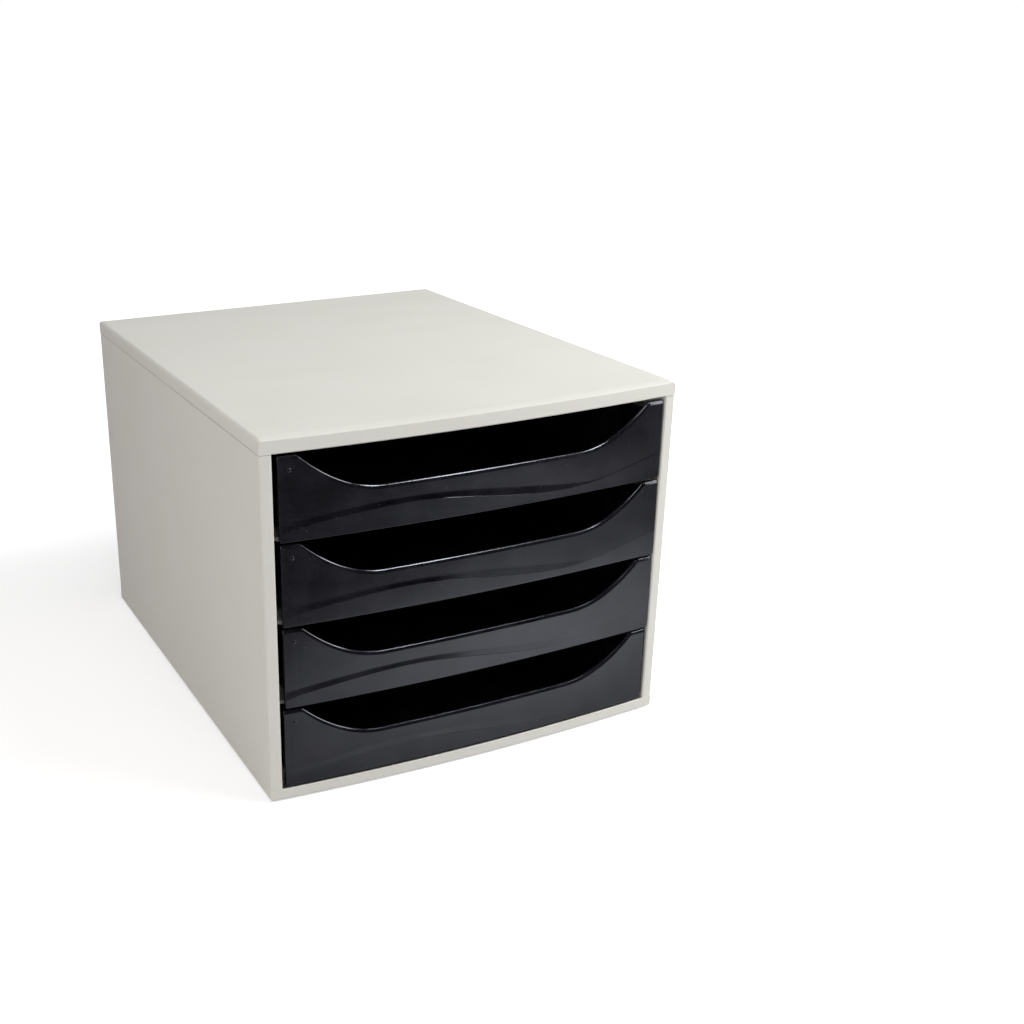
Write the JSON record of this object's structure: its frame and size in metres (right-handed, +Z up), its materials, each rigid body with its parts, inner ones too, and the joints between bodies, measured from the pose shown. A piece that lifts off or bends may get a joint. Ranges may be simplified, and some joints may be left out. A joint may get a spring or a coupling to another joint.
{
  "type": "letter tray stack with drawers",
  "caption": "Desktop case with a gently bowed front, holding a stack of sliding drawers for letter-size papers, each with a scooped front edge to pull it by.",
  "frame": {"origin": "middle of the overall box's underside, on the plane that the rubber feet stand on", "axes": "+X to the right seen from the front, +Y from the drawer fronts to the back, +Z up"},
  "size_m": [0.284, 0.348, 0.234],
  "materials": {
    "case": "moulded, fine satin",
    "drawers": "smooth moulded gloss",
    "feet": "matt"
  },
  "bodies": {
    "case": {"top_panel": "case", "bottom_panel": "case", "left_side_panel": "case", "right_side_panel": "case", "back_panel": "case", "foot_front_left": "feet", "foot_front_right": "feet", "foot_rear_left": "feet", "foot_rear_right": "feet"},
    "drawer_1": {"drawer_1": "drawers"},
    "drawer_2": {"drawer_2": "drawers"},
    "drawer_3": {"drawer_3": "drawers"},
    "drawer_4": {"drawer_4": "drawers"}
  },
  "joints": [
    {"name": "drawer_1_slide", "type": "slide", "parent": "case", "child": "drawer_1", "axis": [0, -1, 0], "range_m": [0, 0.264]},
    {"name": "drawer_2_slide", "type": "slide", "parent": "case", "child": "drawer_2", "axis": [0, -1, 0], "range_m": [0, 0.264]},
    {"name": "drawer_3_slide", "type": "slide", "parent": "case", "child": "drawer_3", "axis": [0, -1, 0], "range_m": [0, 0.264]},
    {"name": "drawer_4_slide", "type": "slide", "parent": "case", "child": "drawer_4", "axis": [0, -1, 0], "range_m": [0, 0.264]}
  ]
}
